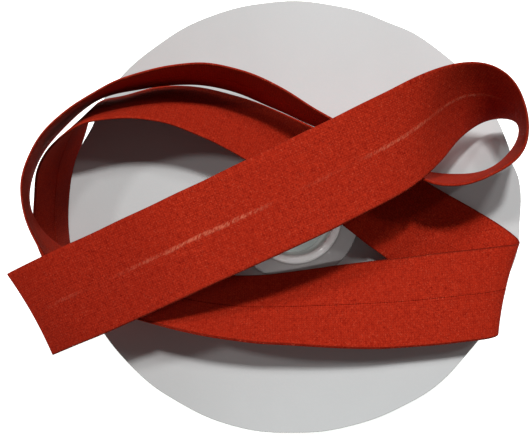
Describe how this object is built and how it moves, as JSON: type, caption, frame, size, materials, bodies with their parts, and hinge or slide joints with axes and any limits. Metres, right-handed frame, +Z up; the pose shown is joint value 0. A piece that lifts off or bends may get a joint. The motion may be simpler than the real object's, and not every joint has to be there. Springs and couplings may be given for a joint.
{
  "type": "roll of bias binding on a card reel",
  "caption": "Flat-lying card reel wound with folded cotton bias tape, its loose end looped and crossed over the upper card.",
  "frame": {"origin": "middle of the bounding box in X and Y, at the underside of the lower card", "axes": "+Z up along the reel axis, +X along the longest extent, towards the side away from the loose tape's cut end"},
  "size_m": [0.1698, 0.1492, 0.0777],
  "materials": {
    "card_low": "matt white-faced card",
    "card_top": "matt white-faced card",
    "hub_white": "satin white moulding",
    "tape_wound": "plain-woven cotton cut on the bias",
    "tape_loose": "plain-woven cotton cut on the bias"
  },
  "bodies": {
    "root": {"flange_bottom": "card_low", "flange_top": "card_top", "hub": "hub_white", "binding_roll": "tape_wound", "binding_tail": "tape_loose"}
  },
  "joints": []
}
